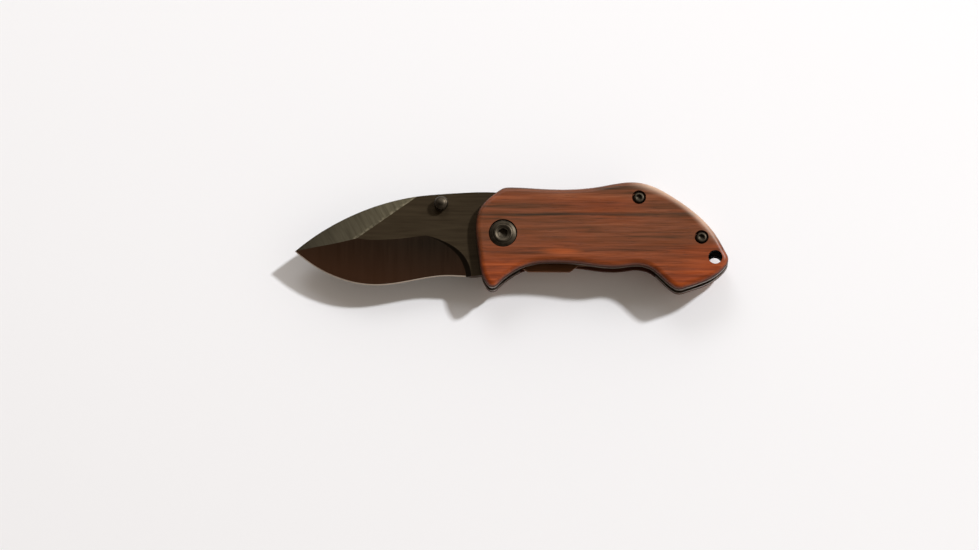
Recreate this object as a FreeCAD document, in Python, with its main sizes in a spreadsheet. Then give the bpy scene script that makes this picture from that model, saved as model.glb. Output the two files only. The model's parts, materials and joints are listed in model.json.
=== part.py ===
import FreeCAD, Part
import Sketcher
import os
import re

# Folding pocket knife with wooden scales, a liner lock and a ground blade, drawn open.
# In the sketches x runs from the pivot towards the butt, y towards the spine and z out of the front
# face, with the middle of the blade's thickness at z = 0. Lengths are millimetres, angles degrees.

driving_sizes = {
    # layers, from the blade outwards
    "blade_thickness": 2.8,
    "washer_space": 0.4,
    "washer_slack": 0.04,
    "liner_thickness": 1.2,
    "scale_thickness": 3.0,
    # rounding of the handle
    "guard_round": 2.2,
    "butt_round": 4.0,
    "rim_round": 1.9,
    # pivot
    "barrel_diameter": 5.0,
    "barrel_bore": 3.5,
    "running_fit": 0.03,
    "seat_fit": 0.02,
    "thread_fit": 0.05,
    "washer_diameter": 12.0,
    "pivot_head_diameter": 9.9,
    "pivot_head_proud": 0.3,
    "pivot_head_dome": 0.8,
    "pivot_hole_gap": 0.2,
    "pivot_recess_diameter": 5.4,
    "pivot_recess_depth": 0.25,
    "pivot_socket_flats": 3.0,
    "pivot_socket_depth": 1.6,
    "pivot_screw_spacing": 0.8,
    # body screws and standoffs
    "screw_head_diameter": 4.2,
    "screw_head_height": 1.4,
    "screw_head_dome": 0.6,
    "screw_head_gap": 0.45,
    "screw_head_sink": 0.2,
    "screw_shank_diameter": 2.2,
    "screw_hole_gap": 0.1,
    "screw_spacing": 0.8,
    "screw_socket_flats": 1.9,
    "screw_socket_depth": 0.9,
    "standoff_diameter": 4.4,
    "spine_screw_back": 1.2,
    "spine_screw_edge": 5.9,
    "butt_screw_inset": 9.6,
    "butt_screw_rise": 7.7,
    "lanyard_diameter": 5.0,
    "lanyard_inset": 4.7,
    "lanyard_rise": 0.3,
    # tang, stop pin and fold
    "tang_radius": 9.0,
    "stop_pin_diameter": 3.0,
    "stop_pin_angle": 62.0,
    "stop_pin_clearance": 0.35,
    "stop_gap": 0.1,
    "fold_angle": 167.0,
    "shoulder_reach": 16.3,
    "heel_reach": 15.5,
    # liner lock
    "lock_face": 6.8,
    "lock_face_gap": 0.08,
    "lock_nose_gap": 0.5,
    "lock_slot": 0.6,
    "lock_top": -2.0,
    "lock_root": 55.0,
    "lock_flex_gap": 0.05,
    "lock_engagement": 0.7,
    "lock_inset": 0.55,
    "lock_tab_drop": 2.3,
    "lock_tab_length": 17.2,
    "lock_tab_ramp": 3.1,
    "lock_nose_length": 2.1,
    "lock_nose_rise": 1.4,
    "lock_tab_round": 0.8,
    # thumb stud
    "stud_back": 22.3,
    "stud_edge": 4.1,
    "stud_head_diameter": 5.2,
    "stud_foot_diameter": 4.6,
    "stud_waist_diameter": 3.9,
    "stud_foot_height": 0.6,
    "stud_waist_height": 1.3,
    "stud_flare": 0.5,
    "stud_height": 3.8,
    "stud_dome": 1.0,
    "stud_shank_diameter": 2.4,
    "stud_shank_grip": 1.6,
    # grinds of the blade
    "edge_margin": 1.0,
    "edge_half_thickness": 0.08,
    "hollow_depth": 0.12,
    "plunge_slope": 1.3,
    "edge_land": 0.03,
    "sharpening_angle": 18.0,
    "sharpening_width": 2.2,
    "swedge_angle": 7.8,
    # pocket clip
    "clip_width": 8.0,
    "clip_thickness": 1.0,
    "clip_side": 2.5,
    "clip_front": 8.5,
    "clip_seat_length": 12.0,
    "clip_bend_length": 5.0,
    "clip_arm_length": 32.0,
    "clip_lip_length": 5.5,
    "clip_space": 2.4,
    "clip_touch_gap": 0.1,
    "clip_lip_lift": 1.4,
    "clip_bend_round": 3.0,
    "clip_end_round": 3.0,
    "clip_screw_inset": 3.0,
    "clip_screw_pitch": 6.0,
    "clip_screw_head_diameter": 4.0,
    "clip_screw_head_height": 1.1,
    "clip_screw_short": 0.2,
}

# Points of the handle's outline and of the blade's outline and grind line, each as x and y.
outline_points = {
    "guard_tip": (-3.7, -20.55),
    "guard_front": (-7.0, -16.2),
    "front_low": (-8.8, -7.3),
    "front_middle": (-9.8, 2.7),
    "front_high": (-8.5, 9.2),
    "nose": (-2.6, 15.3),
    "top_front": (0.3, 17.1),
    "top_start": (2.8, 17.35),
    "top_dip": (15.5, 16.7),
    "top_rise": (34.9, 17.6),
    "hump": (47.9, 19.2),
    "hump_back": (52.2, 18.4),
    "back_high": (60.8, 14.1),
    "back_middle": (69.5, 7.7),
    "back_low": (76.0, 0.7),
    "butt_high": (80.3, -6.8),
    "butt_end": (81.2, -9.2),
    "butt_low": (79.4, -12.8),
    "butt_under": (70.9, -18.1),
    "butt_corner": (63.4, -20.7),
    "butt_neck": (57.0, -15.9),
    "hollow_back": (53.3, -12.8),
    "hollow_top": (48.6, -11.45),
    "belly": (42.1, -12.1),
    "arch_back": (27.9, -10.95),
    "arch_top": (17.3, -10.4),
    "arch_front": (8.3, -11.6),
    "guard_root": (3.8, -13.8),
    "spine_root": (-4.0, 16.3),
    "spine_back": (-19.1, 15.8),
    "spine_middle": (-32.0, 14.6),
    "spine_fore": (-45.0, 11.6),
    "spine_drop": (-58.0, 6.2),
    "spine_low": (-68.8, -0.4),
    "tip": (-75.1, -5.45),
    "edge_fore": (-68.0, -11.0),
    "edge_turn": (-61.6, -14.5),
    "edge_front": (-52.9, -17.3),
    "edge_belly": (-45.4, -18.0),
    "edge_rise": (-33.5, -16.5),
    "edge_hollow": (-20.5, -14.6),
    "edge_root": (-11.9, -14.9),
    "plunge_low": (-11.4, -14.7),
    "plunge_rise": (-14.1, -7.35),
    "plunge_knee": (-19.7, -2.8),
    "plunge_high": (-25.2, -0.5),
    "plunge_end": (-32.0, 0.8),
    "grind_start": (-6.0, 0.3),
    "grind_crest": (-29.6, 0.0),
    "grind_dip": (-42.8, -1.4),
    "grind_meet": (-52.7, -0.8),
    "grind_out": (-62.0, 2.6),
    "grind_end": (-77.0, 18.0),
    "swedge_start": (-31.8, 14.2),
    "swedge_end": (-52.7, -0.8),
}

# Sizes that follow from the ones above.
derived_sizes = {
    "blade_half": "=blade_thickness / 2",
    "liner_inner": "=blade_half + washer_space",
    "liner_outer": "=liner_inner + liner_thickness",
    "scale_outer": "=liner_outer + scale_thickness",
    "clip_depth": "=clip_space + clip_thickness",
    "shift_x": "=-(tip_x + butt_end_x) / 2",
    "shift_y": "=-(hump_y + butt_corner_y) / 2",
    "shift_z": "=scale_outer + clip_depth",
    "spine_screw_x": "=hump_x + spine_screw_back",
    "spine_screw_y": "=hump_y - spine_screw_edge",
    "butt_screw_x": "=butt_end_x - butt_screw_inset",
    "butt_screw_y": "=butt_end_y + butt_screw_rise",
    "lanyard_x": "=butt_end_x - lanyard_inset",
    "lanyard_y": "=butt_end_y + lanyard_rise",
    "screw_seat": "=scale_outer - screw_head_height - screw_head_sink",
    "screw_bore": "=screw_shank_diameter + 2 * screw_hole_gap",
    "pivot_head_height": "=scale_thickness + pivot_head_proud",
    "pivot_shank_diameter": "=barrel_bore - 2 * thread_fit",
    "stop_pin_reach": "=tang_radius + stop_pin_clearance + stop_pin_diameter / 2",
    "stop_pin_x": "=stop_pin_reach * cos(stop_pin_angle * 1 deg)",
    "stop_pin_y": "=stop_pin_reach * sin(stop_pin_angle * 1 deg)",
    "stop_half_angle": "=asin((stop_pin_diameter / 2 + stop_gap) / stop_pin_reach)",
    "shoulder_angle": "=stop_pin_angle * 1 deg + stop_half_angle",
    "heel_angle": "=(stop_pin_angle - fold_angle) * 1 deg - stop_half_angle",
    "lock_half_chord": "=sqrt(tang_radius ^ 2 - lock_face ^ 2)",
    "lock_tip": "=lock_face + lock_face_gap",
    "lock_end": "=lock_root - lock_flex_gap",
    "lock_low": "=arch_back_y + lock_inset",
    "lock_tab_low": "=arch_top_y - lock_tab_drop",
    "lock_middle": "=-(liner_inner + liner_outer) / 2",
    "lock_throw": "=lock_engagement + washer_space",
    "lock_bend": "=asin(lock_throw / (lock_root - lock_tip))",
    "stud_x": "=-stud_back",
    "stud_y": "=spine_back_y - stud_edge",
    "hollow_height": "=(blade_half + edge_half_thickness) / 2 - hollow_depth",
    "plunge_shift": "=plunge_slope * blade_half",
    "sharpening_slope": "=tan(sharpening_angle * 1 deg)",
    "swedge_length": "=sqrt((swedge_end_x - swedge_start_x) ^ 2 + (swedge_end_y - swedge_start_y) ^ 2)",
    "swedge_along_x": "=(swedge_end_x - swedge_start_x) / swedge_length",
    "swedge_along_y": "=(swedge_end_y - swedge_start_y) / swedge_length",
    "blade_depth": "=spine_root_y - edge_belly_y",
    "blade_reach": "=spine_root_x - tip_x",
    "swedge_width": "=blade_depth / 2",
    "swedge_low_height": "=blade_half - swedge_width * tan(swedge_angle * 1 deg)",
    "clip_seat_end": "=clip_front + clip_seat_length",
    "clip_arm_start": "=clip_seat_end + clip_bend_length",
    "clip_touch": "=clip_arm_start + clip_arm_length",
    "clip_end": "=clip_touch + clip_lip_length",
}

doc = FreeCAD.newDocument("folding_pocket_knife")
sheet = doc.addObject("Spreadsheet::Sheet", "sizes")


def fill_column(table, name_column, value_column):
    """Writes a table's names and values into two columns of the sheet, each value with its alias."""
    for row, (alias, value) in enumerate(table.items(), start=1):
        cell = value_column + str(row)
        sheet.set(name_column + str(row), alias)
        sheet.set(cell, str(value))
        sheet.setAlias(cell, alias)


point_cells = {}
for point, (x, y) in outline_points.items():
    point_cells[point + "_x"] = x
    point_cells[point + "_y"] = y
fill_column(driving_sizes, "A", "B")
fill_column(point_cells, "D", "E")
fill_column(derived_sizes, "G", "H")
doc.recompute()

aliases = {*driving_sizes, *point_cells, *derived_sizes}


def cells(text):
    """An expression for the document, with each alias in the text read from the sheet."""
    return re.sub(r"[a-z]\w*", lambda word: "sizes." + word[0] if word[0] in aliases else word[0], text)


def number(text):
    """The present value of an expression in aliases."""
    return float(sheet.evalExpression(text))


def bind(item, **sizes):
    """Binds an object's properties to expressions in aliases."""
    for name, text in sizes.items():
        item.setExpression(name, cells(text))


def named(point):
    """The two expressions of a point of the outline table."""
    return point + "_x", point + "_y"


def place(point):
    return FreeCAD.Vector(number(point[0]), number(point[1]), 0)


def tie(sketch, curve, end, point):
    """Ties one end of a sketch curve, or a circle's centre, to a point given by two expressions."""
    for kind, text in zip(("DistanceX", "DistanceY"), point):
        constraint = Sketcher.Constraint(kind, -1, 1, curve, end, number(text))
        index = sketch.addConstraint(constraint)
        sketch.setExpression(f"Constraints[{index}]", cells(text))


def draw_line(sketch, start, end):
    curve = sketch.addGeometry(Part.LineSegment(place(start), place(end)), False)
    tie(sketch, curve, 1, start)
    return curve


def draw_spline(sketch, points):
    """A smooth curve through the points, of which all but the last are tied here."""
    shape = Part.BSplineCurve()
    shape.interpolate([place(point) for point in points])
    curve = sketch.addGeometry(shape, False)
    first = sketch.GeometryCount
    sketch.exposeInternalGeometry(curve)
    inner = range(first, sketch.GeometryCount)
    knots = [index for index in inner if sketch.Geometry[index].TypeId == "Part::GeomPoint"]
    for knot, point in zip(knots, points[:-1]):
        tie(sketch, knot, 1, point)
    return curve


def draw_arc(sketch, start, end, radius):
    """An arc about the sketch's origin, anticlockwise from start to end."""
    circle = Part.Circle(FreeCAD.Vector(), FreeCAD.Vector(0, 0, 1), number(radius))
    turn = [circle.parameter(place(point)) for point in (start, end)]
    curve = sketch.addGeometry(Part.ArcOfCircle(circle, *turn), False)
    tie(sketch, curve, 1, start)
    index = sketch.addConstraint(Sketcher.Constraint("Radius", curve, number(radius)))
    sketch.setExpression(f"Constraints[{index}]", cells(radius))
    return curve


def draw_circle(sketch, centre, diameter):
    circle = Part.Circle(place(centre), FreeCAD.Vector(0, 0, 1), number(diameter) / 2)
    curve = sketch.addGeometry(circle, False)
    tie(sketch, curve, 3, centre)
    index = sketch.addConstraint(Sketcher.Constraint("Diameter", curve, number(diameter)))
    sketch.setExpression(f"Constraints[{index}]", cells(diameter))


def close_loop(sketch, curves):
    """Joins the end of each curve to the start of the next."""
    for curve, following in zip(curves, curves[1:] + curves[:1]):
        sketch.addConstraint(Sketcher.Constraint("Coincident", curve, 2, following, 1))


def draw_polygon(sketch, corners):
    sides = zip(corners, corners[1:] + corners[:1])
    close_loop(sketch, [draw_line(sketch, start, end) for start, end in sides])


def new_body(label, x="0", y="0", z="0", flipped=False):
    """A body whose own origin is at x, y and z from the pivot, turned over for the rear side."""
    body = doc.addObject("PartDesign::Body", label)
    body.Label = label
    if flipped:
        half_turn = FreeCAD.Rotation(FreeCAD.Vector(1, 0, 0), 180)
        body.Placement = FreeCAD.Placement(FreeCAD.Vector(), half_turn)
    for axis, text in (("x", x), ("y", y), ("z", z)):
        body.setExpression("Placement.Base." + axis, cells(f"shift_{axis} + {text}"))
    return body


def attach(item, body, plane="XY_Plane", height="0"):
    support = [feature for feature in body.Origin.OriginFeatures if feature.Role == plane]
    item.AttachmentSupport = (support[0], [""])
    item.MapMode = "FlatFace"
    item.setExpression("AttachmentOffset.Base.z", cells(height))


def new_sketch(body, name, plane="XY_Plane", height="0"):
    sketch = body.newObject("Sketcher::SketchObject", f"{body.Name}_{name}")
    attach(sketch, body, plane, height)
    return sketch


def pad(body, sketch, length, symmetric=False):
    feature = body.newObject("PartDesign::Pad", sketch.Name + "_pad")
    feature.Profile = sketch
    if symmetric:
        feature.SideType = "Symmetric"
    bind(feature, Length=length)
    doc.recompute()
    return feature


def cut(body, sketch, depth=None):
    """Cuts the sketch's area downwards to the depth, or right through the body both ways."""
    before = body.Shape.Volume
    feature = body.newObject("PartDesign::Pocket", sketch.Name + "_cut")
    feature.Profile = sketch
    if depth:
        bind(feature, Length=depth)
    else:
        feature.SideType = "Two sides"
        feature.Type = "ThroughAll"
        feature.Type2 = "ThroughAll"
    doc.recompute()
    if body.Shape.Volume > before - 1e-6:
        raise RuntimeError(sketch.Name + " cuts nothing")


def drill(body, name, holes, height="0", depth=None):
    """Cuts round holes, each given by its centre and diameter."""
    sketch = new_sketch(body, name, height=height)
    for centre, diameter in holes:
        draw_circle(sketch, centre, diameter)
    cut(body, sketch, depth)


def round_edges(body, name, radius, wanted):
    """Rounds the edges of the body's last feature that the wanted test picks."""
    base = body.Tip
    edges = [f"Edge{n}" for n, edge in enumerate(base.Shape.Edges, start=1) if wanted(edge)]
    if not edges:
        raise RuntimeError(f"{body.Label} {name} rounds nothing")
    feature = body.newObject("PartDesign::Fillet", f"{body.Name}_{name}")
    feature.Base = (base, edges)
    bind(feature, Radius=radius)
    doc.recompute()


def add_cylinder(body, name, diameter, height, bottom="0"):
    feature = body.newObject("PartDesign::AdditiveCylinder", f"{body.Name}_{name}")
    bind(feature, Radius=f"({diameter}) / 2", Height=height)
    attach(feature, body, height=bottom)
    doc.recompute()


def cut_cylinder(body, name, diameter, height, bottom="0"):
    feature = body.newObject("PartDesign::SubtractiveCylinder", f"{body.Name}_{name}")
    bind(feature, Radius=f"({diameter}) / 2", Height=height)
    attach(feature, body, height=bottom)
    doc.recompute()


def cut_hexagon(body, flats, depth, top):
    """Cuts a hex socket of the given width across flats down from the top."""
    feature = body.newObject("PartDesign::SubtractivePrism", body.Name + "_socket")
    feature.Polygon = 6
    bind(feature, Circumradius=flats + " / sqrt(3)", Height=depth)
    attach(feature, body, height=f"{top} - {depth}")
    doc.recompute()


def stands_at(edge, point):
    """Whether an edge runs along z at a point of the outline."""
    first, last = edge.Vertexes[0].Point, edge.Vertexes[-1].Point
    feet = [FreeCAD.Vector(end.x, end.y, 0) for end in (first, last)]
    near = all((foot - place(point)).Length < 0.01 for foot in feet)
    return near and abs(first.z - last.z) > 0.1


def lies_at(edge, height):
    """Whether an edge lies in the level plane at a height."""
    return all(abs(vertex.Point.z - number(height)) < 0.001 for vertex in edge.Vertexes)


handle_top = ["guard_tip", "guard_front", "front_low", "front_middle", "front_high", "nose", "top_front",
              "top_start", "top_dip", "top_rise", "hump", "hump_back", "back_high", "back_middle", "back_low",
              "butt_high", "butt_end", "butt_low", "butt_under", "butt_corner"]
handle_bottom = ["butt_corner", "butt_neck", "hollow_back", "hollow_top", "belly", "arch_back", "arch_top",
                 "arch_front", "guard_root", "guard_tip"]
blade_spine = ["spine_root", "spine_back", "spine_middle", "spine_fore", "spine_drop", "spine_low", "tip"]
blade_edge = ["edge_fore", "edge_turn", "edge_front", "edge_belly", "edge_rise", "edge_hollow", "edge_root"]
plunge_line = ["plunge_low", "plunge_rise", "plunge_knee", "plunge_high", "plunge_end"]
grind_line = ["grind_start", "grind_crest", "grind_dip", "grind_meet", "grind_out", "grind_end"]
# points of the edge that face the inner points of the grind line
edge_facing = ["edge_rise", "edge_belly", "edge_front", "edge_turn"]

pivot = ("0", "0")
stop_pin_centre = named("stop_pin")
lanyard_centre = named("lanyard")
screw_centres = {"spine": named("spine_screw"), "butt": named("butt_screw")}
clip_screws = {
    "front": ("clip_front + clip_screw_inset", "clip_side"),
    "back": ("clip_front + clip_screw_inset + clip_screw_pitch", "clip_side"),
}


def handle_plate(label, bottom, thickness):
    """A plate of the handle's outline with its two corners rounded."""
    body = new_body(label)
    sketch = new_sketch(body, "outline", height=bottom)
    stretches = [[named(point) for point in stretch] for stretch in (handle_top, handle_bottom)]
    close_loop(sketch, [draw_spline(sketch, stretch) for stretch in stretches])
    pad(body, sketch, thickness)
    round_edges(body, "guard", "guard_round", lambda edge: stands_at(edge, named("guard_tip")))
    round_edges(body, "butt", "butt_round", lambda edge: stands_at(edge, named("butt_corner")))
    return body


def make_scale(label, front):
    """A wooden scale with a rounded rim, a hole for the pivot head and counterbores for the screws."""
    outer = "scale_outer" if front else "-scale_outer"
    body = handle_plate(label, "liner_outer" if front else "-scale_outer", "scale_thickness")
    round_edges(body, "rim", "rim_round", lambda edge: lies_at(edge, outer))
    pivot_hole = (pivot, "pivot_head_diameter + 2 * pivot_hole_gap")
    shank_holes = [(centre, "screw_bore") for centre in screw_centres.values()]
    if not front:
        shank_holes += [(centre, "screw_bore") for centre in clip_screws.values()]
    drill(body, "holes", [pivot_hole, (lanyard_centre, "lanyard_diameter")] + shank_holes)
    heads = [(centre, "screw_head_diameter + 2 * screw_head_gap") for centre in screw_centres.values()]
    rim = "scale_outer" if front else "-screw_seat"
    drill(body, "counterbores", heads, rim, "scale_outer - screw_seat")
    return body


def make_liner(label, front):
    """A steel liner plate. The rear one is cut away along its lower side for the lock bar."""
    body = handle_plate(label, "liner_inner" if front else "-liner_outer", "liner_thickness")
    holes = [(pivot, "barrel_diameter + 2 * seat_fit"), (lanyard_centre, "lanyard_diameter")]
    holes += [(stop_pin_centre, "stop_pin_diameter + 2 * seat_fit")]
    holes += [(centre, "screw_bore") for centre in screw_centres.values()]
    if not front:
        holes += [(centre, "screw_shank_diameter + 2 * thread_fit") for centre in clip_screws.values()]
    drill(body, "holes", holes)
    if not front:
        sketch = new_sketch(body, "lock_opening")
        left, right = "lock_face - lock_nose_gap", "lock_root"
        high, low = "lock_top + lock_slot", "butt_corner_y - butt_round"
        draw_polygon(sketch, [(left, high), (left, low), (right, low), (right, high)])
        cut(body, sketch)
    return body


def make_lock_bar():
    """The spring arm of the liner lock, bent inwards from its root so that its tip stands behind the tang."""
    body = new_body("lock_bar")
    sketch = new_sketch(body, "outline", height="-liner_outer")
    tab_corners = [("lock_tip + lock_nose_length", "lock_tab_low"), ("lock_tip + lock_tab_length", "lock_tab_low")]
    draw_polygon(sketch, [
        ("lock_tip", "lock_top"),
        ("lock_tip", "lock_tab_low + lock_nose_rise"),
        *tab_corners,
        ("lock_tip + lock_tab_length + lock_tab_ramp", "lock_low"),
        ("lock_end", "lock_low"),
        ("lock_end", "lock_top"),
    ])
    pad(body, sketch, "liner_thickness")
    round_edges(body, "tab", "lock_tab_round", lambda edge: any(stands_at(edge, corner) for corner in tab_corners))
    body.Placement = FreeCAD.Placement(FreeCAD.Vector(), FreeCAD.Rotation(FreeCAD.Vector(0, 1, 0), 1))
    body.setExpression("Placement.Rotation.Angle", cells("lock_bend"))
    aside = "shift_x + lock_root * (1 - cos(lock_bend)) - lock_middle * sin(lock_bend)"
    inwards = "shift_z + lock_middle * (1 - cos(lock_bend)) + lock_root * sin(lock_bend)"
    body.setExpression("Placement.Base.x", cells(aside))
    body.setExpression("Placement.Base.z", cells(inwards))
    return body


def level_sketch(name, height):
    """A sketch outside any body, level with the blade's sides at a height above its middle."""
    sketch = doc.addObject("Sketcher::SketchObject", name)
    for axis, text in (("x", "shift_x"), ("y", "shift_y"), ("z", "shift_z + " + height)):
        sketch.setExpression("Placement.Base." + axis, cells(text))
    return sketch


def extruded(name, base, direction, length):
    solid = doc.addObject("Part::Extrusion", name)
    solid.Base = base
    solid.Solid = True
    solid.DirMode = "Custom"
    bind(solid, LengthFwd=length)
    for axis, text in zip(("x", "y", "z"), direction):
        solid.setExpression("Dir." + axis, cells(text))
    return solid


def difference(name, base, tool):
    result = doc.addObject("Part::Cut", name)
    result.Base = base
    result.Tool = tool
    return result


def plunge_wall():
    """The steel behind the plunge, where the grinding wheel stopped, with a wall that slopes to the bevel."""
    sketch = level_sketch("plunge_outline", "blade_thickness")
    wall = [named(point) for point in plunge_line]
    foot = ("plunge_low_x", "plunge_low_y - 2 * edge_margin")
    top = wall[-1][1] + " + 2 * edge_margin"
    back = [wall[-1], (wall[-1][0], top), ("0", top), ("0", foot[1]), foot]
    wall, back = ([(f"{x} + plunge_shift", f"{y} + plunge_shift") for x, y in line]
                  for line in ([foot] + wall, back))
    sides = [draw_line(sketch, start, finish) for start, finish in zip(back, back[1:])]
    close_loop(sketch, [draw_spline(sketch, wall)] + sides)
    slope = ("-plunge_slope", "-plunge_slope", "-1")
    return extruded("plunge_steel", sketch, slope, "blade_thickness * sqrt(1 + 2 * plunge_slope ^ 2)")


def ground_face(name, *lines, kept=None):
    """The steel that a grind takes off both sides: all above a face through lines at given heights."""
    sections = []
    for points, height in lines:
        sketch = level_sketch(name + "_line", height)
        curve = draw_spline(sketch, points)
        tie(sketch, curve, 2, points[-1])
        sections.append(sketch)
    face = doc.addObject("Part::Loft", name + "_face")
    face.Sections = sections
    face.Solid = False
    doc.recompute()
    front = extruded(name + "_front", face, ("0", "0", "1"), "2 * blade_thickness")
    if kept:
        front = difference(name + "_ground", front, kept)
    rear = doc.addObject("Part::Mirroring", name + "_rear")
    rear.Source = front
    rear.Normal = FreeCAD.Vector(0, 0, 1)
    rear.setExpression("Base.z", cells("shift_z"))
    doc.recompute()
    return [front, rear]


def make_blade():
    """The blade: a flat blank with a round tang, hollow ground along the edge and flat along the swedge."""
    blank = new_body("blade_blank")
    sketch = new_sketch(blank, "outline")
    shoulder = [(f"{reach} * cos(shoulder_angle)", f"{reach} * sin(shoulder_angle)")
                for reach in ("tang_radius", "shoulder_reach")]
    heel = [(f"{reach} * cos(heel_angle)", f"{reach} * sin(heel_angle)")
            for reach in ("tang_radius", "heel_reach")]
    lock_face = [("lock_face", "-lock_half_chord"), ("lock_face", "lock_half_chord")]
    spine = [shoulder[1]] + [named(point) for point in blade_spine]
    edge = [named(point) for point in ["tip"] + blade_edge] + [heel[1]]
    close_loop(sketch, [
        draw_spline(sketch, spine),
        draw_spline(sketch, edge),
        draw_line(sketch, heel[1], heel[0]),
        draw_arc(sketch, heel[0], lock_face[0], "tang_radius"),
        draw_line(sketch, lock_face[0], lock_face[1]),
        draw_arc(sketch, lock_face[1], shoulder[0], "tang_radius"),
        draw_line(sketch, shoulder[0], shoulder[1]),
    ])
    pad(blank, sketch, "blade_thickness", symmetric=True)
    stud_hole = (named("stud"), "stud_shank_diameter + 2 * seat_fit")
    drill(blank, "holes", [(pivot, "barrel_diameter + 2 * running_fit"), stud_hole])

    before_root = ("grind_start_x", "edge_root_y")
    beyond_tip = ("tip_x + (tip_x - edge_fore_x) / 2", "tip_y + (tip_y - edge_fore_y) / 2")
    edge_run = [before_root] + [named(point) for point in blade_edge[::-1] + ["tip"]] + [beyond_tip]
    outside = [(x, y + " - edge_margin") for x, y in edge_run]
    inside = [(x, y + " + sharpening_width") for x, y in edge_run]
    ridge = [named(point) for point in grind_line]
    facing = [before_root] + [named(point) for point in edge_facing] + [beyond_tip]
    middle = [(f"({a} + {c}) / 2", f"({b} - edge_margin + {d}) / 2")
              for (a, b), (c, d) in zip(facing, ridge, strict=True)]
    kept = plunge_wall()
    hollow = ground_face("hollow", (outside, "edge_half_thickness"), (middle, "hollow_height"),
                         (ridge, "blade_half"), kept=kept)
    sharpened = ground_face("sharpened", (outside, "edge_land - edge_margin * sharpening_slope"),
                            (inside, "edge_land + sharpening_width * sharpening_slope"), kept=kept)

    high = [(f"swedge_start_x {run} * swedge_along_x", f"swedge_start_y {run} * swedge_along_y")
            for run in ("- swedge_width", "+ blade_reach")]
    low = [(f"{x} + swedge_width * swedge_along_y", f"{y} - swedge_width * swedge_along_x") for x, y in high]
    swedge = ground_face("swedge", (low, "swedge_low_height"), (high, "blade_half"))

    blade = blank
    for step, tool in enumerate(hollow + swedge + sharpened, start=1):
        blade = difference(f"blade_grind_{step}", blade, tool)
    doc.recompute()
    blade.Label = "blade"
    return blade


def make_sleeve(label, centre, diameter, bore, length, bottom):
    """A plain tube, such as a washer, a standoff or the pivot barrel."""
    body = new_body(label, *centre, bottom)
    add_cylinder(body, "outside", diameter, length)
    if bore:
        cut_cylinder(body, "bore", bore, length)
    return body


def top_rim(height, diameter):
    """A test for the round edge of a given diameter at a height."""
    def wanted(edge):
        round_edge = isinstance(edge.Curve, Part.Circle)
        at_height = round_edge and lies_at(edge, height)
        return at_height and abs(edge.Curve.Radius - number(diameter) / 2) < 0.001
    return wanted


def make_pivot_screw(label, front):
    """A wide low-domed screw head that fills the hole in the scale, with a shallow dish and a hex socket."""
    body = new_body(label, *pivot, "liner_outer" if front else "-liner_outer", not front)
    length = "(liner_outer - pivot_screw_spacing / 2)"
    add_cylinder(body, "head", "pivot_head_diameter", "pivot_head_height")
    add_cylinder(body, "shank", "pivot_shank_diameter", length, "-" + length)
    round_edges(body, "dome", "pivot_head_dome", top_rim("pivot_head_height", "pivot_head_diameter"))
    dish = "pivot_head_height - pivot_recess_depth"
    cut_cylinder(body, "dish", "pivot_recess_diameter", "pivot_recess_depth", dish)
    cut_hexagon(body, "pivot_socket_flats", "pivot_socket_depth", dish)
    return body


def make_button_screw(label, centre, seat, end, head, height, flipped):
    """A small button-head screw. Its shank runs from the seat in to a plane nearer the blade."""
    body = new_body(label, *centre, "-" + seat if flipped else seat, flipped)
    length = f"({seat} - {end})"
    add_cylinder(body, "head", head, height)
    add_cylinder(body, "shank", "screw_shank_diameter", length, "-" + length)
    round_edges(body, "dome", "screw_head_dome", top_rim(height, head))
    cut_hexagon(body, "screw_socket_flats", "screw_socket_depth", height)
    return body


def make_stud(label, front):
    """Half of the thumb stud, turned with a waist. The front half's shank goes through the blade."""
    body = new_body(label, *named("stud"), "blade_half" if front else "-blade_half", not front)
    sketch = new_sketch(body, "profile", "XZ_Plane")
    foot, waist, head = (f"stud_{part}_diameter / 2" for part in ("foot", "waist", "head"))
    shank = "stud_shank_diameter / 2" if front else "stud_shank_diameter / 2 + thread_fit"
    depth = "-(blade_thickness + stud_shank_grip)" if front else "stud_shank_grip + seat_fit"
    draw_polygon(sketch, [
        ("0", depth),
        (shank, depth),
        (shank, "0"),
        (foot, "0"),
        (foot, "stud_foot_height / 2"),
        (waist, "stud_foot_height"),
        (waist, "stud_waist_height"),
        (head, "stud_waist_height + stud_flare"),
        (head, "stud_height"),
        ("0", "stud_height"),
    ])
    turned = body.newObject("PartDesign::Revolution", body.Name + "_turned")
    turned.Profile = sketch
    turned.ReferenceAxis = (sketch, ["V_Axis"])
    turned.Angle = 360
    doc.recompute()
    round_edges(body, "dome", "stud_dome", top_rim("stud_height", "stud_head_diameter"))
    return body


def make_clip():
    """The pocket clip: a bent spring strip on the rear scale, seated at its front and touching at its end."""
    body = new_body("pocket_clip", y="clip_side", z="-scale_outer")
    bends = [("clip_seat_end", "0"), ("clip_arm_start", "clip_space"), ("clip_touch", "clip_touch_gap")]
    path = [("clip_front", "0")] + bends + [("clip_end", "clip_lip_lift")]
    near = [(x, f"-({gap})") for x, gap in path]
    far = [(x, f"-({gap} + clip_thickness)") for x, gap in path]
    sketch = new_sketch(body, "side", "XZ_Plane")
    draw_polygon(sketch, near + far[::-1])
    pad(body, sketch, "clip_width", symmetric=True)

    def at_column(edge, x):
        return all(abs(vertex.X - number(x)) < 0.01 for vertex in edge.Vertexes)

    def across(edge):
        return abs(edge.Vertexes[0].Y - edge.Vertexes[-1].Y) > 0.1

    def is_bend(edge):
        return across(edge) and any(at_column(edge, x) for x, gap in bends)

    def is_end_corner(edge):
        return not across(edge) and any(at_column(edge, x) for x in ("clip_front", "clip_end"))

    round_edges(body, "bends", "clip_bend_round", is_bend)
    round_edges(body, "ends", "clip_end_round", is_end_corner)
    drill(body, "holes", [((x, "0"), "screw_bore") for x, y in clip_screws.values()])
    return body


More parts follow.
